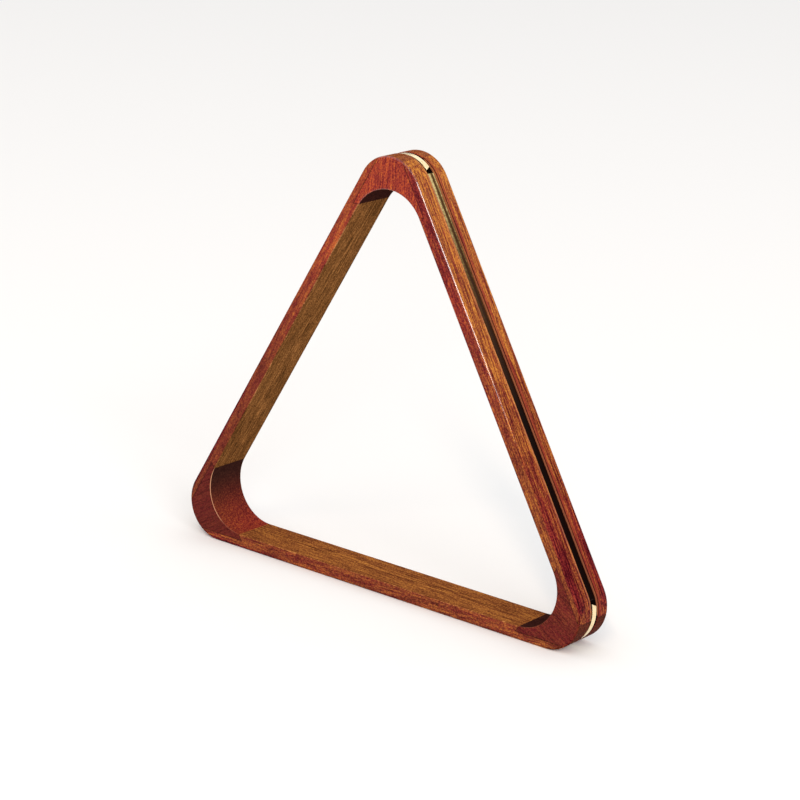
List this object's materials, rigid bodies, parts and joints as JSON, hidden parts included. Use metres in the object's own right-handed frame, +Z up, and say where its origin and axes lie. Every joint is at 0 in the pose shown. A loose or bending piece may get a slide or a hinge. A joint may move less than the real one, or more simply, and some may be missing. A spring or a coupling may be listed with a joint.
{
  "type": "billiard ball rack",
  "caption": "Wooden triangle rack with half-lapped rails, rounded corner blocks and a black and brass inlaid groove, for racking pool balls.",
  "frame": {"origin": "the middle of the bottom rail's resting face, halfway between the front and back faces", "axes": "+X along the bottom rail to the viewer's right, +Y from the front face to the back face, +Z up to the top corner"},
  "size_m": [0.3246, 0.031, 0.2878],
  "materials": {
    "rail_wood": "gloss varnish over a red-brown stain",
    "corner_wood": "gloss varnish over a dark red stain",
    "black_inlay": "polished black",
    "brass": "polished pale brass"
  },
  "bodies": {
    "root": {"bottom_rail": "rail_wood", "left_rail": "rail_wood", "right_rail": "rail_wood", "top_corner_block": "corner_wood", "left_corner_block": "corner_wood", "right_corner_block": "corner_wood", "bottom_black_inlay": "black_inlay", "left_black_inlay": "black_inlay", "right_black_inlay": "black_inlay", "top_brass_inlay": "brass", "left_brass_inlay": "brass", "right_brass_inlay": "brass", "brass_pins": "brass"}
  },
  "joints": []
}
